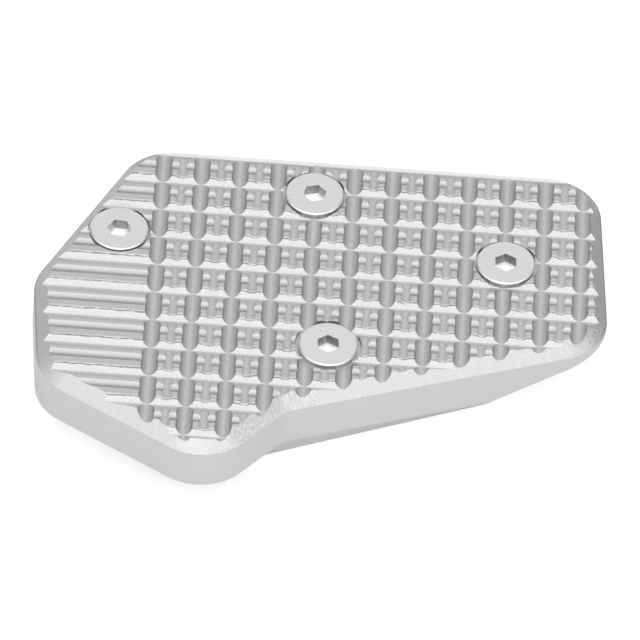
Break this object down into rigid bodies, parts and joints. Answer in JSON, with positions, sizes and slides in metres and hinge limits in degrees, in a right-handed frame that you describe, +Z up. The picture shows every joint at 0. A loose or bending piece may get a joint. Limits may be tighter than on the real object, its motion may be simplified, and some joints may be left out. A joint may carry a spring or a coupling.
{
  "type": "brake pedal extension",
  "caption": "Broad ridged foot plate that clamps over a motorcycle's brake pedal, with a clamp plate below and countersunk socket screws.",
  "frame": {"origin": "bottom centre of the bounding box, on the clamp plate's underside", "axes": "+X along the straight back edge, towards the end whose underside rises; +Y from the toe towards the back edge; +Z up through the plates, out of the ridged tread"},
  "size_m": [0.1114, 0.0808, 0.0173],
  "materials": {
    "tread_aluminium": "bead blasted and clear anodised, with a bright machined chamfer",
    "clamp_aluminium": "bead blasted and clear anodised",
    "screw_steel": "satin stainless"
  },
  "bodies": {
    "root": {"tread_plate": "tread_aluminium", "clamp_plate": "clamp_aluminium", "left_screw": "screw_steel", "back_screw": "screw_steel", "right_screw": "screw_steel", "front_screw": "screw_steel"}
  },
  "joints": []
}
